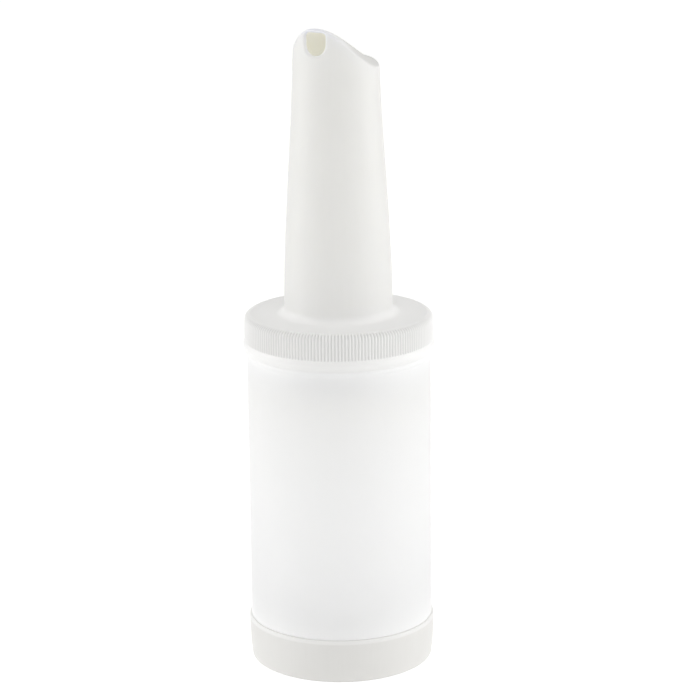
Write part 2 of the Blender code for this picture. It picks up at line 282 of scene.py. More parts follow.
def to_object(name: str, bm: BMesh) -> bpy.types.Object:
    """Turn a bmesh into a linked object and free it.

    Args:
        name: The name of the object and of its mesh.
        bm: The bmesh.

    Returns:
        The object.
    """
    mesh = bpy.data.meshes.new(name)
    bm.to_mesh(mesh)
    bm.free()
    obj = bpy.data.objects.new(name, mesh)
    bpy.context.scene.collection.objects.link(obj)
    return obj


def work_in(obj: bpy.types.Object, tool: bpy.types.Object, joining: Joining) -> None:
    """Add a tool's shape to an object or cut it out, apply the result and remove the tool.

    Args:
        obj: The piece that is changed.
        tool: A closed solid, which is deleted afterwards.
        joining: Whether the tool is added or cut.
    """
    modifier = obj.modifiers.new(tool.name, "BOOLEAN")
    modifier.operation = joining.value
    modifier.object = tool
    modifier.solver = "EXACT"
    evaluated = obj.evaluated_get(bpy.context.evaluated_depsgraph_get())
    shaped = bpy.data.meshes.new_from_object(evaluated)
    obj.modifiers.clear()
    old = obj.data
    obj.data = shaped
    bpy.data.meshes.remove(old)
    bpy.data.objects.remove(tool, do_unlink=True)


# Shader maths


class Signal:
    """A shader socket that expressions can work with."""

    def __init__(self, bench: "Bench", socket: bpy.types.NodeSocket) -> None:
        """Wrap a socket of a bench's node tree."""
        self.bench = bench
        self.socket = socket

    def _maths(self, operation: str, *terms: "Signal | float") -> "Signal":
        """Add a Math node for an operation on some terms."""
        return self.bench.node("ShaderNodeMath", {"operation": operation}, dict(enumerate(terms)))

    def __add__(self, other: "Signal | float") -> "Signal":
        """Sum."""
        return self._maths("ADD", self, other)

    def __radd__(self, other: float) -> "Signal":
        """Sum, reflected."""
        return self._maths("ADD", other, self)

    def __sub__(self, other: "Signal | float") -> "Signal":
        """Difference."""
        return self._maths("SUBTRACT", self, other)

    def __rsub__(self, other: float) -> "Signal":
        """Difference, reflected."""
        return self._maths("SUBTRACT", other, self)

    def __mul__(self, other: "Signal | float") -> "Signal":
        """Product."""
        return self._maths("MULTIPLY", self, other)

    def __rmul__(self, other: float) -> "Signal":
        """Product, reflected."""
        return self._maths("MULTIPLY", other, self)

    def cosine(self) -> "Signal":
        """Cosine of an angle in radians."""
        return self._maths("COSINE", self)

    def angle(self, across: "Signal") -> "Signal":
        """Angle in radians of the point whose Y is this value and whose X is the other."""
        return self._maths("ARCTAN2", self, across)

    def larger(self, other: "Signal | float") -> "Signal":
        """The larger of two values."""
        return self._maths("MAXIMUM", self, other)

    def band(self, low: float, high: float) -> "Signal":
        """A smooth step from 0 to 1 between two values, or from 1 to 0 where the second is the lower.

        Args:
            low: The value that gives 0.
            high: The value that gives 1.

        Returns:
            The step.
        """
        ends = {"From Min": low, "From Max": high, "To Min": 0.0, "To Max": 1.0}
        if low > high:
            ends = {"From Min": high, "From Max": low, "To Min": 1.0, "To Max": 0.0}
        smooth = {"interpolation_type": "SMOOTHSTEP"}
        return self.bench.node("ShaderNodeMapRange", smooth, {"Value": self} | ends)


class Bench:
    """The node tree of a material or of the surroundings, and the one method that adds its nodes."""

    def __init__(self, owner: bpy.types.Material | bpy.types.World) -> None:
        """Take up the nodes of their owner."""
        owner.use_nodes = True
        self.tree = owner.node_tree

    def node(self, kind: str, settings: dict[str, object] | None = None,
             inputs: dict[str | int, object] | None = None, output: str | int = 0) -> Signal:
        """Add a node.

        Args:
            kind: The node's type.
            settings: Properties that are set before its sockets.
            inputs: Values or signals by socket name or number.
            output: The socket that the result stands for.

        Returns:
            The chosen output as a signal.
        """
        node = self.tree.nodes.new(kind)
        for key, value in (settings or {}).items():
            setattr(node, key, value)
        for key, value in (inputs or {}).items():
            self.feed(node.inputs[key], value)
        return Signal(self, node.outputs[output])

    def feed(self, socket: bpy.types.NodeSocket, value: object) -> None:
        """Link a signal to a socket, or set the socket's own value.

        Args:
            socket: The socket.
            value: A signal, or a plain value of the socket's kind.
        """
        if isinstance(value, Signal):
            self.tree.links.new(value.socket, socket)
        else:
            socket.default_value = value

    def noise(self, size: float, detail: float, stretch: Sequence[float] = (1.0, 1.0, 1.0)) -> Signal:
        """Smooth noise on the object's own place.

        Args:
            size: The grain's size in metres.
            detail: How many finer layers it has.
            stretch: How much longer the grain is along each axis.

        Returns:
            The noise, from 0 to 1.
        """
        place = self.node("ShaderNodeTexCoord", output="Object")
        scaled = self.node("ShaderNodeMapping", {"vector_type": "POINT"},
                           {"Vector": place, "Scale": [1.0 / (size * s) for s in stretch]})
        return self.node("ShaderNodeTexNoise", {"noise_dimensions": "3D"},
                         {"Vector": scaled, "Scale": 1.0, "Detail": detail, "Roughness": 0.5})

    def place(self) -> tuple[Signal, Signal, Signal]:
        """The object's own place.

        Returns:
            Its X, Y and Z in metres.
        """
        spot = self.node("ShaderNodeTexCoord", output="Object")
        split = self.node("ShaderNodeSeparateXYZ", None, {"Vector": spot})
        outputs = split.socket.node.outputs
        return Signal(self, outputs[0]), Signal(self, outputs[1]), Signal(self, outputs[2])

    def height(self) -> Signal:
        """The object's own Z in metres."""
        return self.place()[2]

    def blend(self, mask: Signal, first: "Colour | Signal", second: "Colour | Signal") -> Signal:
        """A colour between two colours.

        Args:
            mask: 0 for the first colour, 1 for the second.
            first: A linear colour, or a signal that carries one.
            second: The other.

        Returns:
            The colour.
        """
        factor, colour_a, colour_b, colour_out = 0, 6, 7, 2
        settings = {"data_type": "RGBA", "clamp_factor": True}
        inputs = {factor: mask, colour_a: rgba(first), colour_b: rgba(second)}
        return self.node("ShaderNodeMix", settings, inputs, colour_out)

    def seen(self) -> Signal:
        """Tell what is looked at from what only lights things.

        Returns:
            1 where the camera sees a thing, directly, mirrored or through something, and else 0.
        """
        total = self.node("ShaderNodeLightPath", output="Is Camera Ray")
        rays = total.socket.node.outputs
        for name in ("Is Glossy Ray", "Is Transmission Ray"):
            total = total.larger(Signal(self, rays[name]))
        return total

    def relief(self, height: Signal, depth: float) -> Signal:
        """A normal bent by a height from 0 to 1 that stands for a depth in metres."""
        return self.node("ShaderNodeBump", None, {"Strength": 1.0, "Distance": depth, "Height": height})


def rgba(colour: Colour | Signal) -> tuple[float, ...] | Signal:
    """A linear colour with its alpha, or the signal as it is."""
    return colour if isinstance(colour, Signal) else (*colour, 1.0)


# Finishes


@dataclass(frozen=True)
class PaintedLightMark(ABC):
    """A place where a finish turns to another colour, painted to stand for light or shade. Colours are linear
    and lengths in metres.
    """

    colour: Colour

    @abstractmethod
    def mask(self, bench: Bench) -> Signal:
        """1 where the accent's colour shows in full, and 0 away from it."""


@dataclass(frozen=True)
class PaintedValleyShade(PaintedLightMark):
    """Painted shade between upright ribs, of which one stands with its middle on the X axis."""

    ribs: int
    low: float
    high: float
    fade: float = 0.6 * MM

    def mask(self, bench: Bench) -> Signal:
        """Find the valleys between two heights.

        Args:
            bench: The material's nodes.

        Returns:
            1 along the middle of each valley, 0 along the middle of each rib.
        """
        x, y, z = bench.place()
        valley = 0.5 - 0.5 * (y.angle(x) * self.ribs).cosine()
        return valley * z.band(self.low, self.low + self.fade) * z.band(self.high, self.high - self.fade)


@dataclass(frozen=True)
class PaintedLightBelt(PaintedLightMark):
    """A belt of a wall painted paler, to stand for light that falls on it: the colour shows from the full
    height on, and fades towards the end height.
    """

    full: float
    end: float

    def mask(self, bench: Bench) -> Signal:
        """1 at the full height and past it, and 0 at the end height."""
        return bench.height().band(self.end, self.full)


@dataclass(frozen=True)
class PaintedRoofShade(PaintedLightMark):
    """Painted shade on the closed tip's roof, which turns away from the light: greyer than its walls, but not
    over the pour hole.

    It fades in along the roof from the front to the back place, above the low height, and on faces whose
    upward share lies past upright and reaches level.
    """

    low: float
    front: float = -14.0 * MM
    back: float = -9.0 * MM
    fade: float = 1.0 * MM
    upright: float = 0.35
    level: float = 0.7

    def mask(self, bench: Bench) -> Signal:
        """Find the roof by the way that its faces look.

        Args:
            bench: The material's nodes.

        Returns:
            1 on faces that look up, above the low height and behind the front.
        """
        normal = bench.node("ShaderNodeTexCoord", output="Normal")
        up = bench.node("ShaderNodeSeparateXYZ", None, {"Vector": normal}, "Z")
        _, y, z = bench.place()
        behind = y.band(self.front, self.back)
        return up.band(self.upright, self.level) * behind * z.band(self.low, self.low + self.fade)


@dataclass(frozen=True)
class MouldedPlastic:
    """A moulded plastic: slightly mottled, rippled by its mould, and thin enough to let some light through.

    Colours are linear and lengths in metres. Each backed stretch of the wall is a pair of heights: where
    what stands behind it holds the light back in full, and where the wall is free.
    """

    name: str
    colour: Colour
    dull_colour: Colour
    roughness: float
    let_through: float
    passing_colour: Colour
    gloss: float = 0.35
    painted_light_marks: tuple[PaintedLightMark, ...] = ()
    backed: tuple[tuple[float, float], ...] = ()
    backed_share: float = 0.06
    mottle_size: float = 22.0 * MM
    streak_size: float = 1.1 * MM
    streak_length: float = 60.0
    mottle_share: float = 0.65
    dull_range: tuple[float, float] = (0.35, 0.65)
    roughness_swing: float = 0.10
    ripple_size: float = 2.4 * MM
    ripple_depth: float = 0.006 * MM
    ripple_share: float = 0.7
    rubbed: tuple[float, float] = (0.0, 0.0)
    rubbed_roughness: float = 0.12
    rub_fade: float = 0.25
    rub_size: float = 6.0 * MM
    rub_range: tuple[float, float] = (0.45, 0.62)

    def make(self) -> bpy.types.Material:
        """Build the material.

        Returns:
            The finished material.
        """
        material = bpy.data.materials.new(self.name)
        bench = Bench(material)
        shader = bench.tree.nodes["Principled BSDF"]
        mottle = bench.noise(self.mottle_size, 3.0)
        streaks = bench.noise(self.streak_size, 1.0, (1.0, 1.0, self.streak_length))
        ripple = bench.noise(self.ripple_size, 2.0)
        mix = self.mottle_share * mottle + (1.0 - self.mottle_share) * streaks
        colour = bench.blend(mix.band(*self.dull_range), self.colour, self.dull_colour)
        # Painted light and shade laid over the plastic's own colour.
        for accent in self.painted_light_marks:
            colour = bench.blend(accent.mask(bench), colour, accent.colour)
        bench.feed(shader.inputs["Base Color"], colour)
        rough = self.roughness + self.roughness_swing * (mix - 0.5)
        if self.rubbed[1] > self.rubbed[0]:
            rough = rough + self.rubbed_roughness * self.wear(bench)
        bench.feed(shader.inputs["Roughness"], rough)
        surface_height = self.ripple_share * ripple + (1.0 - self.ripple_share) * streaks
        bench.feed(shader.inputs["Normal"], bench.relief(surface_height, self.ripple_depth))
        shader.inputs["Specular IOR Level"].default_value = self.gloss
        passing = bench.node("ShaderNodeBsdfTranslucent", None, {"Color": rgba(self.passing_colour)})
        surface = Signal(bench, shader.outputs["BSDF"])
        thin = bench.node("ShaderNodeMixShader", None, {0: self.share(bench), 1: surface, 2: passing})
        bench.feed(bench.tree.nodes["Material Output"].inputs["Surface"], thin)
        material.diffuse_color = rgba(self.colour)
        return material

    def share(self, bench: Bench) -> Signal | float:
        """The share of light let through, less where the wall is backed.

        Args:
            bench: The material's nodes.

        Returns:
            The share.
        """
        share: Signal | float = self.let_through
        for full, free in self.backed:
            share = self.backed_share + (share - self.backed_share) * bench.height().band(full, free)
        return share

    def wear(self, bench: Bench) -> Signal:
        """Patches where hands or the table rub.

        Args:
            bench: The material's nodes.

        Returns:
            1 in the patches between the two rubbed heights, and else 0.
        """
        low, high = self.rubbed
        soft = self.rub_fade * (high - low)
        height = bench.height()
        patches = bench.noise(self.rub_size, 4.0).band(*self.rub_range)
        return height.band(low, low + soft) * height.band(high, high - soft) * patches


# What the pieces share


@dataclass(frozen=True)
class Levels:
    """Heights and radii read from the frame, in metres."""

    foot: float
    lid_top: float
    rim: float
    washer: tuple[float, float]
    collar_bottom: float
    flare: float
    lid_rim: float
    tip: float
    gap: float = 0.3 * MM
    seam: float = 0.06 * MM

    @classmethod
    def read(cls) -> "Levels":
        """Read them from the boxes of the frame's nodes.

        Returns:
            The levels.
        """
        jar_low, jar_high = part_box("container")
        neck_low, neck_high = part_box("pour_neck")
        washer_low, washer_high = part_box("sealing_washer")
        lid_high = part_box("storage_lid")[1]
        return cls(foot=jar_low.z, lid_top=lid_high.z, rim=jar_high.z,
                   washer=(washer_low.z, washer_high.z), collar_bottom=neck_low.z,
                   flare=jar_high.x, lid_rim=lid_high.x, tip=neck_high.z)

    @property
    def ceiling(self) -> float:
        """Underside of the collar's top, over the washer."""
        return self.washer[1] + self.gap

    @property
    def foot_step(self) -> float:
        """The container's step, which sits on the lid's rim with a hair between them."""
        return self.lid_top + self.seam

    @property
    def ledge(self) -> float:
        """The container's shoulder, a hair under the collar."""
        return self.collar_bottom - self.seam


@dataclass(frozen=True)
class Screw:
    """The thread that the mouth, the collar and the lid share. Sizes in metres, the run-out in degrees."""

    root: float = 40.9 * MM
    pitch: float = 5.0 * MM
    depth: float = 1.15 * MM
    clearance: float = 0.35 * MM
    play: float = 0.3 * MM
    root_width: float = 2.6 * MM
    crest_width: float = 1.2 * MM
    crest_flat: float = 0.72
    crest_shoulder: float = 1.12
    crest_round: float = 0.15
    below_rim: float = 3.4 * MM
    rise: float = 7.5 * MM
    run_out: float = 18.0
    embed: float = 0.5 * MM
    steps: int = 96

    @property
    def socket(self) -> float:
        """Radius of a wall that the thread turns in."""
        return self.root + self.depth + self.clearance

    def start_under(self, rim: float) -> float:
        """Height where a thread starts whose upper end lies under a rim."""
        return rim - self.below_rim - self.rise

    @property
    def drop(self) -> float:
        """How far the collar's thread lies under the mouth's when they pull on each other."""
        flank = (self.root_width - self.crest_width) / 2.0 / self.depth
        return self.crest_width + flank * (self.depth - self.clearance) + self.play

    def ridge(self, name: str, outward: bool, first_height: float, start: float = 0.0) -> bpy.types.Object:
        """A right-handed ridge with rounded run-outs.

        Args:
            name: The ridge's name.
            outward: Whether it stands out from the mouth, or in from a socket's wall.
            first_height: Height of its lower end's middle.
            start: Angle of its lower end, in degrees.

        Returns:
            The ridge as a closed solid.
        """
        wall = self.root if outward else self.socket
        crest = self.root + self.depth if outward else self.root + self.clearance
        inwards = math.copysign(1.0, wall - crest)
        base = wall + self.embed * inwards
        sunk = wall + self.embed / 4.0 * inwards
        turns = self.rise / self.pitch
        stations = round(self.steps * turns)
        fade = self.run_out / (360.0 * turns)
        half_root, half_crest = self.root_width / 2.0, self.crest_width / 2.0
        flat, shoulder = self.crest_flat * half_crest, self.crest_shoulder * half_crest
        sections = []
        for station in range(stations + 1):
            along = station / stations
            angle = math.radians(start) + math.tau * turns * along
            height = first_height + self.rise * along
            end = min(1.0, along / fade, (1.0 - along) / fade)
            top = sunk + (crest - sunk) * math.sin(end * math.pi / 2.0)
            edge = top + self.crest_round * (base - top)
            outline = ((base, -half_root), (edge, -shoulder), (top, -flat),
                       (top, flat), (edge, shoulder), (base, half_root))
            out, across = math.cos(angle), math.sin(angle)
            sections.append([Vector((r * out, r * across, height + z)) for r, z in outline])
        return loft(name, sections)


# The pieces


@dataclass
class Moulding(ABC):
    """One moulded piece of the bottle, which stands for a node of the frame."""

    name: ClassVar[str]
    node: ClassVar[str]
    body: ClassVar[str]
    slot: ClassVar[str]

    levels: Levels
    screw: Screw
    steps: int = 240

    @abstractmethod
    def model(self) -> bpy.types.Object:
        """Build the piece's mesh, in place."""

    @abstractmethod
    def finishes(self) -> list[MouldedPlastic]:
        """The piece's finishes, in the order of Skin."""

    def blank(self, bm: BMesh) -> bpy.types.Object:
        """Make the piece's object, ready for a thread or a hole to be worked in.

        Args:
            bm: Its mesh, which is freed.

        Returns:
            The object with its finishes.
        """
        obj = to_object(self.name, bm)
        for finish in self.finishes():
            obj.data.materials.append(finish.make())
        return obj

    def turned(self, outline: Profile, closed: bool = False) -> bpy.types.Object:
        """Turn an outline round the axis into the piece's object.

        Args:
            outline: The piece's section.
            closed: Whether the section's ends are joined.

        Returns:
            The object with its finishes.
        """
        bm = spin(outline, self.steps, closed=closed)
        face_outwards(bm)
        return self.blank(bm)

    def make(self) -> bpy.types.Object:
        """Model the piece, smooth its shading and hang it on its body.

        Returns:
            The finished object.
        """
        obj = self.model()
        obj.data.name = self.name
        obj.data.shade_smooth()
        obj.data.set_sharp_from_angle(angle=SOFT_ANGLE)
        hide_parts(self.node)
        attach(obj, self.body)
        log.info("%s: %d faces on body %s", self.name, len(obj.data.polygons), self.body)
        return obj


@dataclass
class Container(Moulding):
    """The jar: foot, straight body, shoulder bead and threaded mouth. Sizes in metres.

    The bead's slope and the last plain ring of the wall are given by their heights from the bead's.
    """

    name: ClassVar[str] = "milky_container"
    node: ClassVar[str] = "container"
    body: ClassVar[str] = "container"
    slot: ClassVar[str] = "container_natural"

    radius: float = 43.3 * MM
    wall: float = 1.3 * MM
    floor: float = 1.5 * MM
    mouth_wall: float = 1.2 * MM
    rim_round: float = 0.4 * MM
    mouth_fillet: float = 0.4 * MM
    foot_gap: float = 0.05 * MM
    foot_corner: float = 0.7 * MM
    step_corner: float = 0.10 * MM
    ledge_corner: float = 0.15 * MM
    push_up: float = 1.4 * MM
    standing_ring: float = 5.5 * MM
    shoulder_bead: float = 3.0 * MM
    bead_slope: tuple[float, float] = (-0.4 * MM, 1.7 * MM)
    last_ring: float = -1.5 * MM
    shoulder_slope: float = 3.5 * MM
    dim_above_lid: float = 20.0 * MM
    dim_below_collar: tuple[float, float] = (1.0 * MM, 18.0 * MM)

    @property
    def foot(self) -> float:
        """The foot's radius."""
        return self.screw.root + self.foot_gap

    @property
    def ring(self) -> float:
        """Radius where the push-up meets the ring that the foot would stand on."""
        return self.foot - self.standing_ring

    @property
    def mouth(self) -> float:
        """The mouth's inner radius."""
        return self.screw.root - self.mouth_wall

    def base(self) -> Profile:
        """The underside, from its middle over the push-up to the foot's rounded edge.

        Returns:
            The outline's points.
        """
        low, bend = self.levels.foot, self.push_up / 2.0
        middle, raised = (0.0, low + self.push_up), (self.ring - self.push_up, low + self.push_up)
        corner = (self.foot - self.foot_corner, low + self.foot_corner)
        outline = [middle] + run(middle, raised, EVEN)
        outline += arc((raised[0], low + bend), bend, 90.0, 20.0, 4)[1:]
        outline += arc((self.ring, low + bend), bend, 200.0, 270.0, 4)
        return outline + arc(corner, self.foot_corner, -90.0, 0.0, 5)

    def side(self) -> Profile:
        """The outside, from the foot over the step, the body and the bead to the ledge under the collar.

        Returns:
            The outline's points.
        """
        step, ledge, flare = self.levels.foot_step, self.levels.ledge, self.levels.flare
        corner, shoulder = self.radius - self.step_corner, flare - self.ledge_corner
        bead = ledge - self.shoulder_bead
        low, high = self.bead_slope
        outline = legs((self.foot, self.levels.foot + self.foot_corner),
                       (self.foot, step, EVEN), (corner, step, DENSE))
        outline += arc((corner, step + self.step_corner), self.step_corner, -75.0, 0.0, 5)
        outline += run((self.radius, step + self.step_corner), (self.radius, bead + self.last_ring), SPARSE)
        outline += s_curve((self.radius, bead + low), (flare, bead + high), 6)
        outline += arc((shoulder, ledge - self.ledge_corner), self.ledge_corner, 0.0, 90.0, 4)
        return outline + run((shoulder, ledge), (self.screw.root + self.mouth_fillet, ledge), DENSE)

    def mouth_side(self) -> Profile:
        """The mouth's outside and its rounded rim.

        Returns:
            The outline's points.
        """
        root, fillet, rounding = self.screw.root, self.mouth_fillet, self.rim_round
        ledge, rim = self.levels.ledge, self.levels.rim - rounding
        outline = arc((root + fillet, ledge + fillet), fillet, 260.0, 180.0, 3)
        outline += run((root, ledge + fillet), (root, rim), CLOSE)
        outline += arc((root - rounding, rim), rounding, 10.0, 90.0, 4)
        return outline + arc((self.mouth + rounding, rim), rounding, 90.0, 180.0, 4)

    def inside(self) -> Profile:
        """The inside, from the rim down the mouth, the body and the foot to the middle of the floor.

        Returns:
            The outline's points.
        """
        step, floor = self.levels.foot_step, self.levels.foot + self.floor
        slope = self.levels.ledge - self.wall
        body, foot = self.radius - self.wall, self.foot - self.wall
        raised = floor + self.push_up
        outline = legs((self.mouth, self.levels.rim - self.rim_round),
                       (self.mouth, slope, EVEN),
                       (body, slope - self.shoulder_slope, DENSE),
                       (body, step + 2.0 * self.wall, SPARSE),
                       (foot, step, DENSE),
                       (foot, floor + self.wall, EVEN))
        outline += arc((foot - self.wall, floor + self.wall), self.wall, -15.0, -90.0, 5)
        outline += run((foot - self.wall, floor), (self.ring, floor), DENSE)
        return outline + [(self.ring - self.push_up, raised), (0.0, raised)]

    def model(self) -> bpy.types.Object:
        """Turn the wall and add the mouth's thread.

        Returns:
            The jar.
        """
        jar = self.turned(self.base() + self.side() + self.mouth_side() + self.inside())
        start = self.screw.start_under(self.levels.rim)
        work_in(jar, self.screw.ridge("mouth_thread", True, start), Joining.ADD)
        return jar

    def finishes(self) -> list[MouldedPlastic]:
        """Natural, milky plastic, which passes less light beside the lid and the collar.

        Returns:
            The one finish.
        """
        step, ledge = self.levels.foot_step, self.levels.ledge
        full, free = self.dim_below_collar
        ends = ((step, step + self.dim_above_lid), (ledge - full, ledge - free))
        return [MouldedPlastic("milky_plastic", colour=(0.965, 0.965, 0.962), dull_colour=(0.95, 0.951, 0.95),
                               roughness=0.45, let_through=0.62, passing_colour=(0.975, 0.975, 0.977),
                               backed=ends)]


@dataclass
class SealingWasher(Moulding):
    """The flat ring between the mouth and the collar's ceiling. Sizes in metres."""

    name: ClassVar[str] = "soft_washer"
    node: ClassVar[str] = "sealing_washer"
    body: ClassVar[str] = "washer"
    slot: ClassVar[str] = "washer_silicone"

    inner: float = 39.7 * MM
    outer: float = 42.0 * MM
    edge: float = 0.25 * MM

    def model(self) -> bpy.types.Object:
        """Turn the ring's rounded section.

        Returns:
            The ring.
        """
        low, high = self.levels.washer
        outline: Profile = []
        corners = ((self.inner, low, 1, 1, 180.0), (self.outer, low, -1, 1, 270.0),
                   (self.outer, high, -1, -1, 0.0), (self.inner, high, 1, -1, 90.0))
        for r, z, side, up, start in corners:
            outline += arc((r + side * self.edge, z + up * self.edge), self.edge, start, start + 90.0, 4)
        return self.turned(outline, closed=True)

    def finishes(self) -> list[MouldedPlastic]:
        """Soft, pale silicone.

        Returns:
            The one finish.
        """
        return [MouldedPlastic("pale_silicone", colour=(0.86, 0.86, 0.845), dull_colour=(0.83, 0.83, 0.81),
                               roughness=0.55, let_through=0.4, passing_colour=(0.95, 0.95, 0.93),
                               ripple_depth=0.01 * MM)]


@dataclass
class StorageLid(Moulding):
    """The cap on the container's foot. Sizes in metres.

    Its wall leans in below the knee. The rim's slope is how far its rounding reaches in and down. The painted
    highlight along the rim is given by depths under the top: it shows in full down to the first, and ends at
    the second.
    """

    name: ClassVar[str] = "parked_lid"
    node: ClassVar[str] = "storage_lid"
    body: ClassVar[str] = "lid"
    slot: ClassVar[str] = "lid_white"

    floor: float = 1.8 * MM
    knee_draft: float = 0.5 * MM
    knee_height: float = 7.0 * MM
    base_draft: float = 1.1 * MM
    edge: float = 1.2 * MM
    above_edge: float = 0.4 * MM
    rim_round: float = 0.3 * MM
    rim_slope: tuple[float, float] = (0.72 * MM, 1.7 * MM)
    corner: float = 3.4 * MM
    foot_clearance: float = 0.35 * MM
    bead_radius: float = 40.3 * MM
    bead: float = 0.4 * MM
    painted_rim_highlight: tuple[float, float] = (1.4 * MM, 2.2 * MM)
    rubbed_height: float = 4.0 * MM

    def outside(self) -> Profile:
        """The outside, from the middle of the base up to the rim and over it into the socket.

        Returns:
            The outline's points.
        """
        rim, top = self.levels.lid_rim, self.levels.lid_top
        wall = rim - self.base_draft
        base = wall - self.edge
        across, down = self.rim_slope
        outline = [(0.0, 0.0)] + run((0.0, 0.0), (base, 0.0), EVEN)
        outline += arc((base, self.edge), self.edge, -82.0, -2.0, 6)
        outline += legs((wall, self.edge + self.above_edge),
                        (rim - self.knee_draft, self.knee_height, CLOSE), (rim, top - down, CLOSE))
        turned = arc((0.0, 0.0), 1.0, 15.0, 90.0, 6)
        outline += [(rim + across * (x - 1.0), top + down * (y - 1.0)) for x, y in turned]
        rounding = self.rim_round
        return outline + arc((self.screw.socket + rounding, top - rounding), rounding, 90.0, 180.0, 4)

    def inside(self) -> Profile:
        """The inside, from the rim down the socket and over the sealing bead to the middle of the floor.

        Returns:
            The outline's points.
        """
        socket, floor = self.screw.socket, self.floor
        outline = legs((socket, self.levels.lid_top - self.rim_round), (socket, floor + self.corner, CLOSE),
                       (self.screw.root + self.foot_clearance, floor, DENSE))
        outline += arc((self.bead_radius, floor), self.bead, 0.0, 180.0, 8)
        return outline + run((self.bead_radius - self.bead, floor), (0.0, floor), SPARSE)

    def model(self) -> bpy.types.Object:
        """Turn the cap and add its thread.

        Returns:
            The cap.
        """
        cap = self.turned(self.outside() + self.inside())
        start = self.screw.start_under(self.levels.lid_top)
        work_in(cap, self.screw.ridge("lid_thread", False, start), Joining.ADD)
        return cap

    def finishes(self) -> list[MouldedPlastic]:
        """Satin, slightly warm white, with a painted highlight along its rim.

        Returns:
            The one finish.
        """
        full, end = (self.levels.lid_top - depth for depth in self.painted_rim_highlight)
        return [MouldedPlastic("satin_white", colour=(0.86, 0.853, 0.832), dull_colour=(0.845, 0.838, 0.815),
                               roughness=0.42, let_through=0.10, passing_colour=(0.95, 0.93, 0.90),
                               # Painted highlight along the rim's top edge.
                               painted_light_marks=(PaintedLightBelt((0.93, 0.925, 0.91), full, end),),
                               rubbed=(0.0, self.rubbed_height))]


@dataclass(frozen=True)
class ArchedRoof:
    """The tip's roof: it falls away from the pouring side in a smooth S. Sizes in metres."""

    height: float
    reach: float = 17.65 * MM
    edge: float = 0.8 * MM
    wall: float = 1.4 * MM
    drop: float = 16.4 * MM
    slope_front: float = 0.15
    slope_back: float = 0.16
    arch_front: float = 12.5 * MM
    arch_back: float = 46.0 * MM
    hood: float = 12.0 * MM

    def level(self, x: float, y: float) -> float:
        """Height of the roof's outside over a point: a line from front to back, arched less and less.

        Args:
            x: Place across the roof.
            y: Place along it, from the pouring side to the back.

        Returns:
            The height.
        """
        length = 2.0 * self.reach
        back = (self.reach + y) / length
        bend = self.slope_front * (1.0 - back) - self.slope_back * back
        arch = (1.0 - back) / self.arch_front + back / self.arch_back
        fall = self.drop * ease(back) + length * back * (1.0 - back) * bend
        return self.height - fall - arch * x * x / 2.0


@dataclass(frozen=True)
class PourHole:
    """The pour hole: flat top, round bottom, softened lip. Sizes in metres."""

    width: float = 10.8 * MM
    height: float = 10.6 * MM
    corner: float = 1.8 * MM
    below_top: float = 1.8 * MM
    lip: float = 1.2 * MM
    lip_steps: int = 8
    round_steps: int = 28
    corner_steps: int = 6
    reach_in: float = 1.2 * MM
    reach_out: float = 2.0 * MM

    def cutter(self, top: float, wall: float, thickness: float) -> bpy.types.Object:
        """The solid that cuts the hole, wrapped round the neck's wall and flared into its lip.

        Args:
            top: Height of the hole's flat top.
            wall: Outer radius of the neck there.
            thickness: The neck's wall.

        Returns:
            The cutter, whose inner faces take the inside's finish.
        """
        stations = [(wall - thickness - self.reach_in, 0.0), (wall - self.lip, 0.0)]
        for step in range(1, self.lip_steps + 1):
            turn = math.pi / 2.0 * step / self.lip_steps
            stations.append((wall - self.lip * (1.0 - math.sin(turn)), self.lip * (1.0 - math.cos(turn))))
        stations.append((wall + self.reach_out, self.lip))
        sections = [self.section(top, wall, radius, grow) for radius, grow in stations]
        cutter = loft("pour_hole_cutter", sections)
        for face in cutter.data.polygons:
            if face.center.xy.length < wall - self.lip:
                face.material_index = Skin.INSIDE.value
        return cutter

    def section(self, top: float, wall: float, radius: float, grow: float) -> list[Vector]:
        """The hole's outline, wrapped round the bottle's axis.

        Args:
            top: Height of the hole's flat top.
            wall: Outer radius of the neck there, where the hole has its width.
            radius: Radius that the outline is wrapped on.
            grow: How much larger the outline is, all round.

        Returns:
            The outline's points.
        """
        half, rounding = self.width / 2.0, self.corner + grow
        inset, under = half - self.corner, top - self.corner
        outline = arc((0.0, top - self.height + half), half + grow, 180.0, 360.0, self.round_steps)
        outline += arc((inset, under), rounding, 0.0, 90.0, self.corner_steps)
        outline += arc((-inset, under), rounding, 90.0, 180.0, self.corner_steps)
        return [Vector((radius * math.sin(a / wall), -radius * math.cos(a / wall), z)) for a, z in outline]


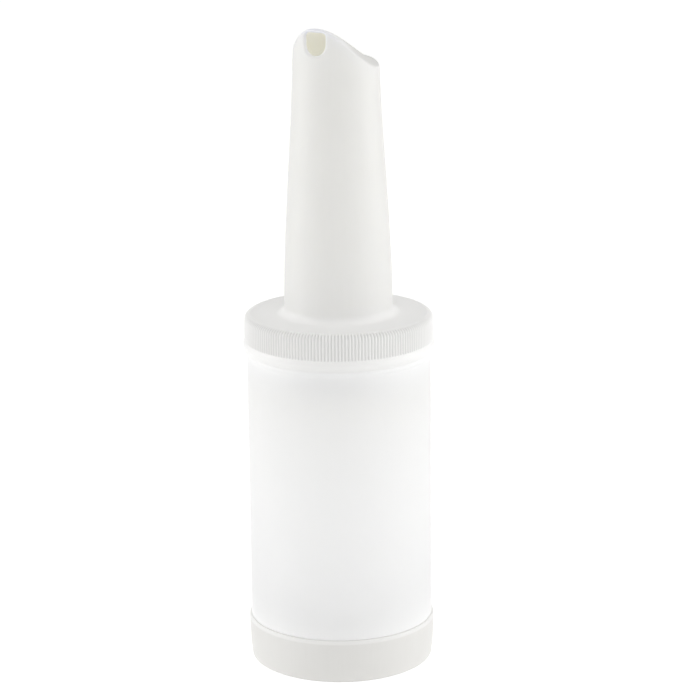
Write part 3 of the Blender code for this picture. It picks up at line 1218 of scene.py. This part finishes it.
@dataclass
class PourNeck(Moulding):
    """Ribbed screw collar, tapered neck and closed slanting tip, in one moulding. Sizes in metres.

    The collar's outside is turned by itself and bridged to the rest. Its seams are pairs of rings: how far
    inside the shoulder they lie on the collar's top, and how far outside the socket under its lip. The ring
    spacing is that of the neck's outside and of its passage. The vent's flare gives places across the wall,
    from its outside, and how much wider the vent is there. The thread starts at an angle in degrees.
    """

    name: ClassVar[str] = "white_pour_neck"
    node: ClassVar[str] = "pour_neck"
    body: ClassVar[str] = "neck"
    slot: ClassVar[str] = "neck_white"

    steps: int = 270
    front_crest: float = 0.2 * MM
    hole: PourHole = field(default_factory=PourHole)
    collar_wall: float = 2.2 * MM
    ceiling: float = 1.6 * MM
    shoulder: float = 3.2 * MM
    bead_height: float = 5.0 * MM
    bead_out: float = 0.5 * MM
    bead_slope: float = 1.3 * MM
    lip_height: float = 2.9 * MM
    lip_draft: float = 0.95 * MM
    lip_bend: float = 2.5
    lip_corner: float = 0.15 * MM
    lip_fillet: float = 0.4 * MM
    top_seam: tuple[float, float] = (0.9 * MM, 0.3 * MM)
    lip_seam: tuple[float, float] = (0.5 * MM, 0.9 * MM)
    ribs: int = 180
    rib_columns: int = 6
    rib_depth: float = 0.55 * MM
    rib_ramp: float = 0.5 * MM
    rib_fade: float = 0.9 * MM
    ramp_ring: float = 0.15 * MM
    ribs_in_sector: int = 12
    plug_radius: float = 39.4 * MM
    plug_wall: float = 1.2 * MM
    plug_length: float = 4.0 * MM
    plug_rounds: tuple[float, float] = (0.4 * MM, 0.3 * MM)
    thread_start: float = 60.0
    foot_radius: float = 25.5 * MM
    tip_radius: float = 19.75 * MM
    wall: float = 1.4 * MM
    fillet: float = 4.0 * MM
    ring_spacing: tuple[float, float] = (4.0 * MM, 6.0 * MM)
    roof_spacing: float = 1.5 * MM
    vent: float = 1.5 * MM
    vent_steps: int = 32
    vent_below_roof: float = 5.3 * MM
    vent_flare: tuple[Point, ...] = ((-4.2 * MM, 1.0), (-0.25 * MM, 1.0), (-0.08 * MM, 1.06),
                                     (0.3 * MM, 1.35))
    backed_height: float = 5.0 * MM
    valley_end: float = 0.2 * MM

    @cached_property
    def roof(self) -> ArchedRoof:
        """The tip's roof, whose front crest lies a little under the frame's tip."""
        return ArchedRoof(self.levels.tip - self.front_crest)

    @property
    def top(self) -> float:
        """The collar's flat top."""
        return self.levels.ceiling + self.ceiling

    @property
    def collar(self) -> float:
        """The collar's radius over its ribs."""
        return self.screw.socket + self.collar_wall

    @property
    def flat_edge(self) -> float:
        """Radius where the collar's flat top turns into its rounded shoulder."""
        return self.collar - self.shoulder

    @property
    def band(self) -> float:
        """Height where the ribs start, over the collar's plain bead."""
        return self.levels.collar_bottom + self.bead_height

    def radius(self, z: float) -> float:
        """Outer radius of the neck at a height, upright at both ends."""
        share = min(1.0, max(0.0, (z - self.top) / (self.roof.height - self.top)))
        return self.foot_radius - (self.foot_radius - self.tip_radius) * ease(share)

    @cached_property
    def hood_start(self) -> float:
        """Height where the wall starts to stretch up to the roof, under the roof's lowest eave.

        Returns:
            The height.
        """
        around = [math.radians(a) for a in range(0, 360, 2)]
        reach = self.tip_radius
        eaves = [self.roof.level(reach * math.cos(a), reach * math.sin(a)) for a in around]
        return min(eaves) - self.roof.edge - self.roof.hood

    def bend_to_roof(self, bm: BMesh, inset: float, drop: float, edge: float) -> None:
        """Shape a flat-topped tube's end into the slanting, arched tip.

        The top and its rounded edge follow the roof, and the wall's rings are spread up to its eave.

        Args:
            bm: The tube.
            inset: How far its wall lies inside the neck's outside.
            drop: How far its top lies under the roof's outside.
            edge: The radius between its top and its wall.
        """
        start = self.hood_start
        flat = self.roof.height - drop
        for vert in bm.verts:
            if vert.co.z < start - MERGE:
                continue
            r = vert.co.xy.length
            way = vert.co.xy / r if r > MERGE else Vector((0.0, 0.0))
            far = way * self.tip_radius
            eave = self.roof.level(far.x, far.y) - drop - edge
            reach = self.radius(eave) - inset
            if vert.co.z > flat - edge - MERGE:
                spot = way * (r * reach / (self.tip_radius - inset))
                vert.co = (spot.x, spot.y, self.roof.level(spot.x, spot.y) - drop - (flat - vert.co.z))
                continue
            rim = way * reach
            end = self.roof.level(rim.x, rim.y) - drop - edge
            z = start + (vert.co.z - start) * (end - start) / (flat - edge - start)
            spot = way * (self.radius(z) - inset)
            vert.co = (spot.x, spot.y, z)

    def tube(self, inset: float, drop: float, edge: float, spacing: float) -> Profile:
        """A flat-topped tube, from the middle of its top down to where the neck's foot is filleted.

        Args:
            inset: How far its wall lies inside the neck's outside.
            drop: How far its top lies under the roof's outside.
            edge: The radius between its top and its wall.
            spacing: The distance between the rings of its wall.

        Returns:
            The outline's points.
        """
        flat = self.roof.height - drop
        radius = self.tip_radius - inset
        start = self.hood_start
        outline = [(0.0, flat)] + run((0.0, flat), (radius - edge, flat), self.roof_spacing)
        outline += arc((radius - edge, flat - edge), edge, 80.0, 0.0, 7)
        outline += run((radius, flat - edge), (radius, start), spacing / 2.0)
        heights = [z for _, z in run((0.0, start), (0.0, self.top + self.fillet), spacing)]
        return outline + [(self.radius(z) - inset, z) for z in heights]

    def ribbed_collar(self) -> BMesh:
        """Turn the collar's outside over one rib, press the valley beside the rib in, and repeat it round.

        Returns:
            The collar's outside.
        """
        pitch = math.tau / self.ribs
        bm = spin(self.collar_outline(), self.rib_columns, turn=pitch)
        shoulder = self.top - self.shoulder
        for vert in bm.verts:
            r = vert.co.xy.length
            if vert.co.z < self.band or r < self.flat_edge + MERGE:
                continue
            across = math.atan2(vert.co.y, vert.co.x) / pitch
            valley = math.sin(math.pi * across) ** 2
            rise = min(1.0, (vert.co.z - self.band) / self.rib_ramp)
            crown = min(1.0, (r - self.flat_edge) / self.rib_fade)
            outwards = Vector((vert.co.x / r, vert.co.y / r, 0.0))
            if vert.co.z > shoulder:
                centre = outwards * self.flat_edge + AXIS * shoulder
                outwards = (vert.co - centre).normalized()
            vert.co -= outwards * (self.rib_depth * valley * rise * crown)
        repeat_round(bm, self.ribs_in_sector, pitch)
        repeat_round(bm, self.ribs // self.ribs_in_sector, pitch * self.ribs_in_sector)
        return bm

    def collar_outline(self) -> Profile:
        """The collar's outside, from its flat top over the ribbed band and the bead to its lip's underside.

        Returns:
            The outline's points.
        """
        low, bead = self.levels.collar_bottom, self.collar + self.bead_out
        shoulder = self.top - self.shoulder
        ramp = self.band + 4.0 * self.ramp_ring
        outline = [(self.flat_edge - self.top_seam[1], self.top)]
        outline += arc((self.flat_edge, shoulder), self.shoulder, 90.0, 0.0, 12)
        outline += legs((self.collar, shoulder),
                        (self.collar, ramp, CLOSE), (self.collar, self.band, self.ramp_ring))
        outline += s_curve((self.collar, self.band), (bead, self.band - self.bead_slope), 5)[1:]
        for share in (0.0, 0.2, 0.4, 0.6, 0.8):
            inwards = self.lip_draft * share ** self.lip_bend
            outline.append((bead - inwards, low + self.lip_height * (1.0 - share)))
        outline += arc((bead - self.lip_draft, low + self.lip_corner), self.lip_corner, -10.0, -90.0, 4)
        return outline + [(self.screw.socket + self.lip_seam[1], low)]

    def socket_outline(self) -> Profile:
        """The collar's inside, from the lip's underside over the wall, the ceiling and the plug ring.

        Returns:
            The outline's points, up to the foot of the neck's passage.
        """
        low, ceiling, socket = self.levels.collar_bottom, self.levels.ceiling, self.screw.socket
        plug, plug_inner = self.plug_radius, self.plug_radius - self.plug_wall
        end = ceiling - self.plug_length
        outer, inner = self.plug_rounds
        lip = self.lip_fillet
        fillet = self.top + self.fillet
        centre = self.radius(fillet) + self.fillet
        outline = [(socket + self.lip_seam[0], low)]
        outline += arc((socket + lip, low + lip), lip, 260.0, 180.0, 4)
        outline += legs((socket, low + lip),
                        (socket, ceiling, CLOSE), (plug, ceiling, CLOSE), (plug, end + outer, DENSE))
        outline += arc((plug - outer, end + outer), outer, -15.0, -90.0, 4)
        outline += arc((plug_inner + inner, end + inner), inner, 270.0, 180.0, 3)
        outline += legs((plug_inner, end + inner), (plug_inner, ceiling, DENSE), (centre, ceiling, CLOSE))
        return outline + arc((centre, fillet), self.fillet + self.ceiling, 266.0, 215.0, 8)

    def shell(self) -> BMesh:
        """Turn the outside, the collar and the inside, and join them.

        Returns:
            The neck without its thread and holes.
        """
        roof, fillet, flat, low = self.roof, self.top + self.fillet, self.flat_edge, self.levels.collar_bottom
        foot = self.radius(fillet) + self.fillet
        outer_spacing, inner_spacing = self.ring_spacing
        outline = self.tube(0.0, 0.0, roof.edge, outer_spacing)
        outline += arc((foot, fillet), self.fillet, 187.0, 270.0, 12)
        outline += run((foot, self.top), (flat - self.top_seam[0], self.top), CLOSE)
        outside = spin(outline, self.steps)
        self.bend_to_roof(outside, 0.0, 0.0, roof.edge)
        passage = self.tube(self.wall, roof.wall, roof.edge / 2.0, inner_spacing)
        inside = spin(self.socket_outline() + passage[::-1], self.steps)
        self.bend_to_roof(inside, self.wall, roof.wall, roof.edge / 2.0)
        bm = gather([(outside, Skin.OUTSIDE), (self.ribbed_collar(), Skin.OUTSIDE), (inside, Skin.INSIDE)])
        top_rims = rim_at(bm, self.top, flat - 2.0 * self.top_seam[0], flat)
        lip_rims = rim_at(bm, low, self.screw.socket, self.collar)
        for rims in (top_rims, lip_rims):
            bmesh.ops.bridge_loops(bm, edges=rims)
        face_outwards(bm)
        return bm

    def model(self) -> bpy.types.Object:
        """Build the shell, add the collar's thread, and cut the pour hole and the vent.

        Returns:
            The neck.
        """
        neck = self.blank(self.shell())
        under_mouth = self.screw.start_under(self.levels.rim) - self.screw.drop
        start = under_mouth + self.screw.pitch * self.thread_start / 360.0
        work_in(neck, self.screw.ridge("collar_thread", False, start, self.thread_start), Joining.ADD)
        top = self.roof.height - self.hole.below_top
        wall = self.radius(top - self.hole.height / 2.0)
        cutter = self.hole.cutter(top, wall, self.wall)
        for material in neck.data.materials:
            cutter.data.materials.append(material)
        work_in(neck, cutter, Joining.CUT)
        work_in(neck, self.vent_cutter(), Joining.CUT)
        return neck

    def vent_cutter(self) -> bpy.types.Object:
        """The solid that cuts the air vent in the back wall, under the roof's low side.

        Returns:
            The cutter.
        """
        height = self.roof.level(0.0, self.tip_radius) - self.roof.edge - self.vent_below_roof
        wall = self.radius(height)
        sections = []
        for across, grow in self.vent_flare:
            circle = arc((0.0, height), self.vent * grow, 0.0, 360.0, self.vent_steps)[:-1]
            sections.append([Vector((x, wall + across, z)) for x, z in circle])
        return loft("vent_cutter", sections)

    def finishes(self) -> list[MouldedPlastic]:
        """Semi-gloss white outside with painted light on the collar and painted shade in the rib valleys and
        on the roof, and the duller inside, painted yellow to stand for the warm light seen through its thin
        walls.

        Returns:
            The two finishes.
        """
        low, top = self.levels.collar_bottom, self.top
        # Paler collar: partly its thicker, whiter wall, partly painted light that lifts its shade.
        collar = PaintedLightBelt((0.957, 0.953, 0.943), full=top, end=top + self.fillet)
        # Painted shade in the rib valleys, where the ribs shade each other.
        valleys = PaintedValleyShade((0.80, 0.797, 0.785), self.ribs, self.band, top - self.valley_end)
        # Painted shade on the roof's faces that look up and back, away from the light.
        roof = PaintedRoofShade((0.70, 0.698, 0.69), self.hood_start)
        outside = MouldedPlastic("semi_gloss_white", colour=(0.918, 0.916, 0.915),
                                 dull_colour=(0.903, 0.901, 0.90), roughness=0.40, let_through=0.38,
                                 passing_colour=(0.875, 0.89, 1.0), backed=((top, top + self.backed_height),),
                                 painted_light_marks=(collar, valleys, roof), rubbed=(low, top))
        # The inside's yellow is painted light: it stands for the warm light seen through the thin walls.
        inside = MouldedPlastic("inside_painted_warm_light", colour=(0.985, 0.955, 0.69), dull_colour=(0.975, 0.945, 0.67),
                                roughness=0.48, let_through=0.62, passing_colour=(0.99, 0.98, 0.94))
        return [outside, inside]


# The studio


@dataclass(frozen=True)
class Softbox:
    """A large soft lamp. Its angle is round the bottle from the camera, in degrees, positive to the right."""

    name: str
    angle: float
    height: float
    distance: float
    size: tuple[float, float]
    watts: float

    def place(self, camera_angle: float, target: Vector) -> None:
        """Set the lamp up so that it faces a target.

        Args:
            camera_angle: The camera's own angle round the bottle.
            target: The point that it faces.
        """
        data = bpy.data.lights.new(self.name, "AREA")
        data.shape = "RECTANGLE"
        data.size, data.size_y = self.size
        data.energy = self.watts
        lamp = bpy.data.objects.new(self.name, data)
        turn = math.radians(camera_angle + self.angle)
        spot = Vector((self.distance * math.sin(turn), -self.distance * math.cos(turn), self.height))
        aim = (target - spot).to_track_quat("-Z", "Y")
        lamp.matrix_world = Matrix.LocRotScale(spot, aim, None)
        bpy.context.scene.collection.objects.link(lamp)
        log.info("lamp %s", self.name)


@dataclass(frozen=True)
class Studio:
    """White floor, white surroundings, soft lamps and the camera. Lengths in metres, angles in degrees."""

    camera_angle: float = 29.5
    camera_distance: float = 1.300
    camera_height: float = 0.499
    camera_pitch: float = 15.0115
    camera_roll: float = -0.573
    camera_yaw: float = 0.229
    lens_mm: float = 146.93
    sensor_mm: float = 36.0
    floor_size: float = 14.0
    floor_colour: Colour = (0.84, 0.84, 0.84)
    floor_lift: float = 0.55
    floor_glow: Colour = (0.30, 0.30, 0.30)
    white: Colour = (1.0, 1.0, 1.0)
    side_light: Colour = (0.71, 0.71, 0.71)
    top_light: Colour = (0.56, 0.56, 0.555)
    overhead: float = 0.6
    target_height: float = 0.15
    lamps: tuple[Softbox, ...] = (
        Softbox("right_softbox", angle=90.0, height=0.35, distance=1.20, size=(0.9, 0.8), watts=5.7),
        Softbox("left_softbox", angle=-96.0, height=0.35, distance=1.20, size=(0.9, 0.8), watts=5.6),
        Softbox("high_softbox", angle=5.0, height=1.25, distance=0.85, size=(0.9, 0.6), watts=2.4),
        Softbox("front_softbox", angle=8.0, height=0.45, distance=1.90, size=(1.2, 1.0), watts=1.8),
    )

    def make(self) -> None:
        """Set up everything round the bottle."""
        self.make_camera()
        self.make_world()
        self.make_floor()
        for lamp in self.lamps:
            lamp.place(self.camera_angle, Vector((0.0, 0.0, self.target_height)))

    def make_camera(self) -> None:
        """Stand the camera where the photograph was taken from."""
        data = bpy.data.cameras.new("studio_camera")
        data.sensor_width = self.sensor_mm
        data.lens = self.lens_mm
        camera = bpy.data.objects.new("studio_camera", data)
        stand = Matrix.Translation((0.0, -self.camera_distance, self.camera_height))
        aim = (Matrix.Rotation(-math.radians(self.camera_yaw), 4, "Z")
               @ Matrix.Rotation(math.radians(90.0 - self.camera_pitch), 4, "X")
               @ Matrix.Rotation(math.radians(self.camera_roll), 4, "Z"))
        camera.matrix_world = Matrix.Rotation(math.radians(self.camera_angle), 4, "Z") @ stand @ aim
        bpy.context.scene.collection.objects.link(camera)
        bpy.context.scene.camera = camera
        log.info("camera %s", camera.name)

    def make_world(self) -> None:
        """Soft light from all round, weaker from above, and seen as plain white."""
        world = bpy.data.worlds.new("white_surroundings")
        bpy.context.scene.world = world
        bench = Bench(world)
        direction = bench.node("ShaderNodeTexCoord", output="Generated")
        climb = bench.node("ShaderNodeSeparateXYZ", None, {"Vector": direction}, "Z")
        light = bench.blend(climb.band(0.0, self.overhead), self.side_light, self.top_light)
        background = bench.tree.nodes["Background"]
        bench.feed(background.inputs["Color"], bench.blend(bench.seen(), light, self.white))

    def make_floor(self) -> None:
        """A plain white floor that keeps the bottle's soft shadow."""
        bm = bmesh.new()
        bmesh.ops.create_grid(bm, x_segments=1, y_segments=1, size=self.floor_size / 2.0)
        floor = to_object("white_floor", bm)
        material = bpy.data.materials.new("floor_white")
        bench = Bench(material)
        sockets = bench.tree.nodes["Principled BSDF"].inputs
        sockets["Base Color"].default_value = rgba(self.floor_colour)
        sockets["Roughness"].default_value = 1.0
        sockets["Specular IOR Level"].default_value = 0.0
        sockets["Emission Strength"].default_value = self.floor_lift
        bench.feed(sockets["Emission Color"], bench.blend(bench.seen(), self.floor_glow, self.white))
        floor.data.materials.append(material)
        log.info("floor %s", floor.name)


def main() -> None:
    """Build the studio and the bottle's pieces."""
    logging.basicConfig(level=logging.INFO, format="%(name)s: %(message)s")
    bpy.context.scene.view_settings.view_transform = "Standard"
    Studio().make()
    levels, screw = Levels.read(), Screw()
    for kind in (StorageLid, Container, SealingWasher, PourNeck):
        kind(levels, screw).make()


if __name__ == "__main__":
    main()
